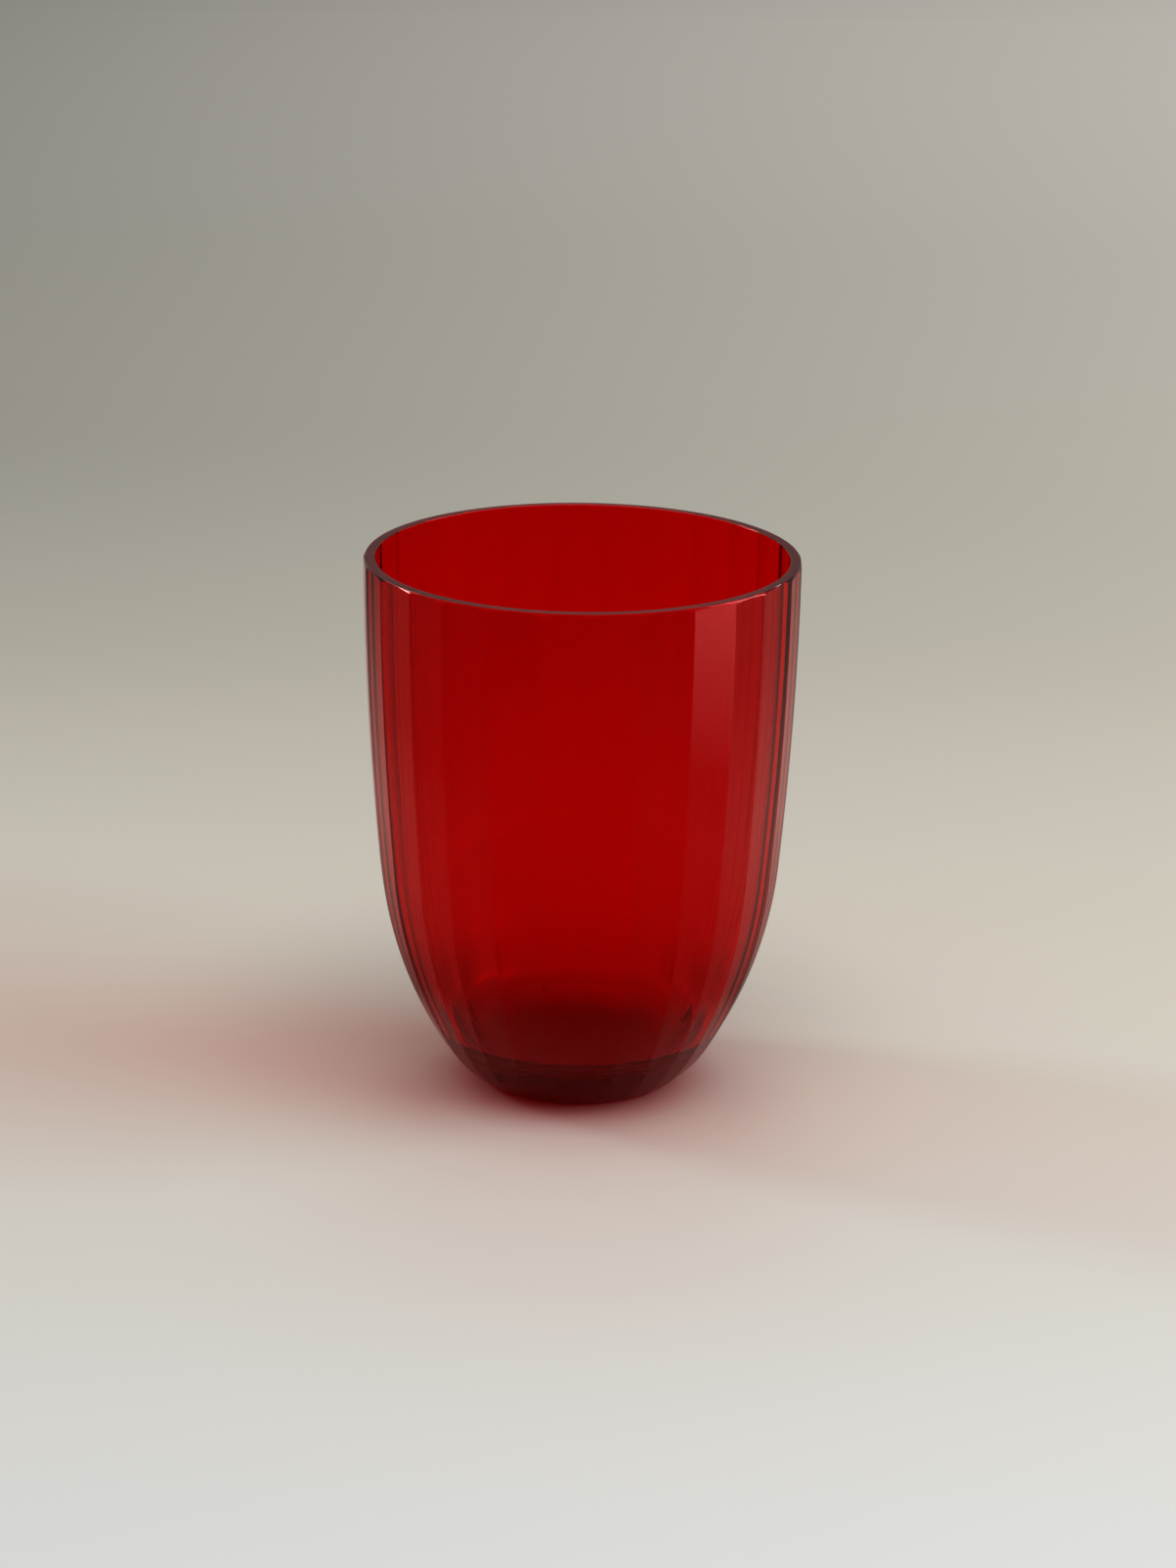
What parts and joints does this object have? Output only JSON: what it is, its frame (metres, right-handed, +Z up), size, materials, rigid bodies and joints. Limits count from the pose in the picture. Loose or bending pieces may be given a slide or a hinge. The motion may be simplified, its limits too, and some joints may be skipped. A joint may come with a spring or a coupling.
{
  "type": "juice glass",
  "caption": "Small footless tumbler of deep red transparent glass, round and smooth inside, cut into flat upright facets outside, narrowing in a round belly to a flat foot.",
  "frame": {"origin": "middle of the foot's flat face, on the table", "axes": "+Z up along the glass's axis, towards the open rim; +X and +Y level"},
  "size_m": [0.0718, 0.0719, 0.09],
  "materials": {
    "red_glass": "polished, transparent, coloured through"
  },
  "bodies": {
    "root": {"tumbler": "red_glass"}
  },
  "joints": []
}
